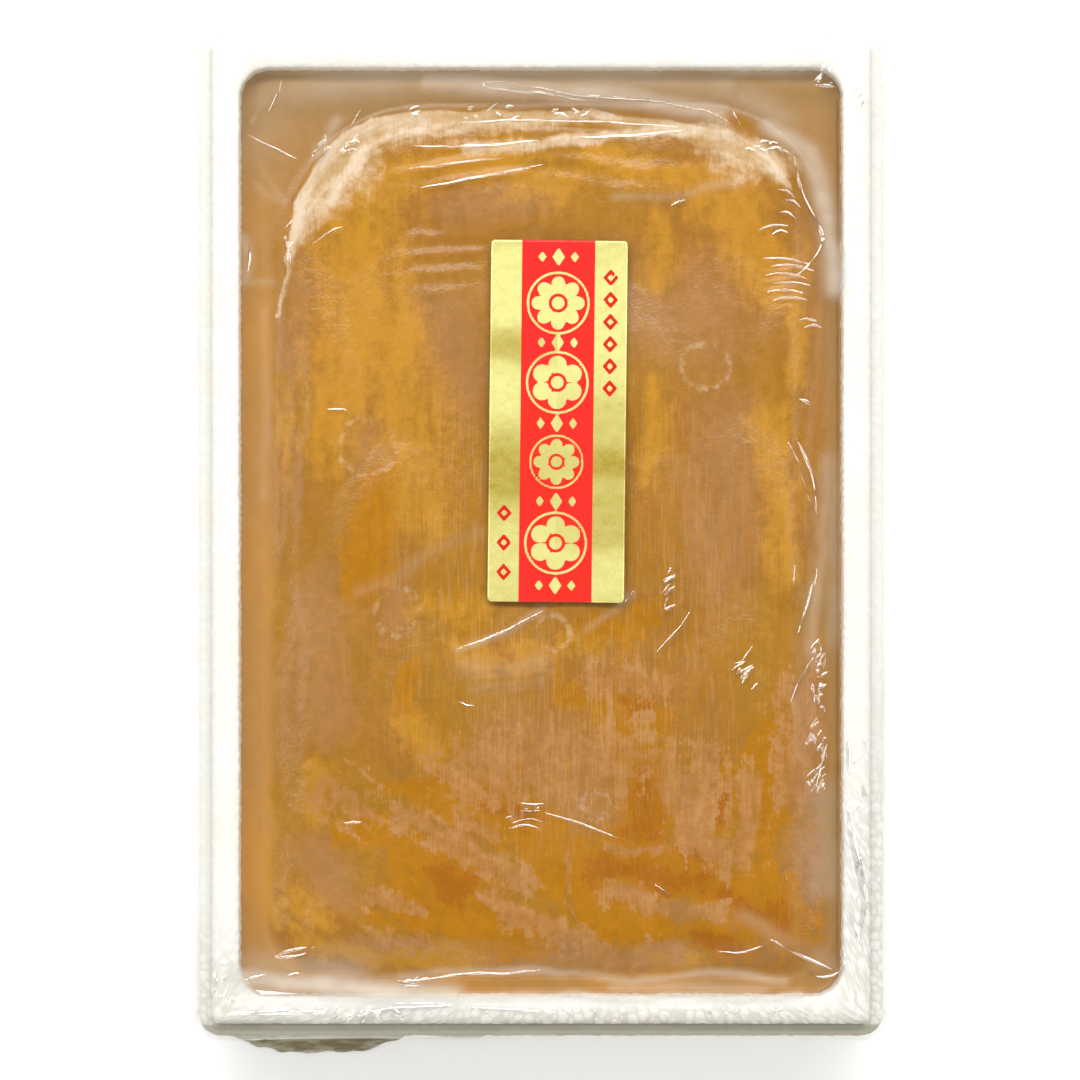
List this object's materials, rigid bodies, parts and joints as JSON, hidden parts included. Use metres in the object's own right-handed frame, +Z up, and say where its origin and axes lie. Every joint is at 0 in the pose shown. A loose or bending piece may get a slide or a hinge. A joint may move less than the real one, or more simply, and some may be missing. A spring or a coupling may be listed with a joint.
{
  "type": "film-wrapped foam tray of seasoned herring roe",
  "caption": "Shallow rectangular foam tray packed with a slab of frozen seasoned herring roe in its sauce, overwrapped in clear film with a label stuck on top.",
  "frame": {"origin": "centre of the tray's base, on the face that the pack rests on", "axes": "+X along the short side, to the right of the picture; +Y along the long side, to the top of the picture; +Z up, out of the film's top"},
  "size_m": [0.1876, 0.2756, 0.0408],
  "materials": {
    "foam": "white expanded bead foam, matte",
    "sauce": "cloudy brown seasoning sauce, smooth and wet",
    "roe": "amber roe of fine eggs, wet and translucent, with pale frost in patches",
    "film": "clear glossy stretch film with wrinkles",
    "label": "red band between two strips of gold foil, under clear plastic"
  },
  "bodies": {
    "root": {"tray": "foam", "sauce": "sauce", "roe": "roe", "film": "film", "label": "label"}
  },
  "joints": []
}
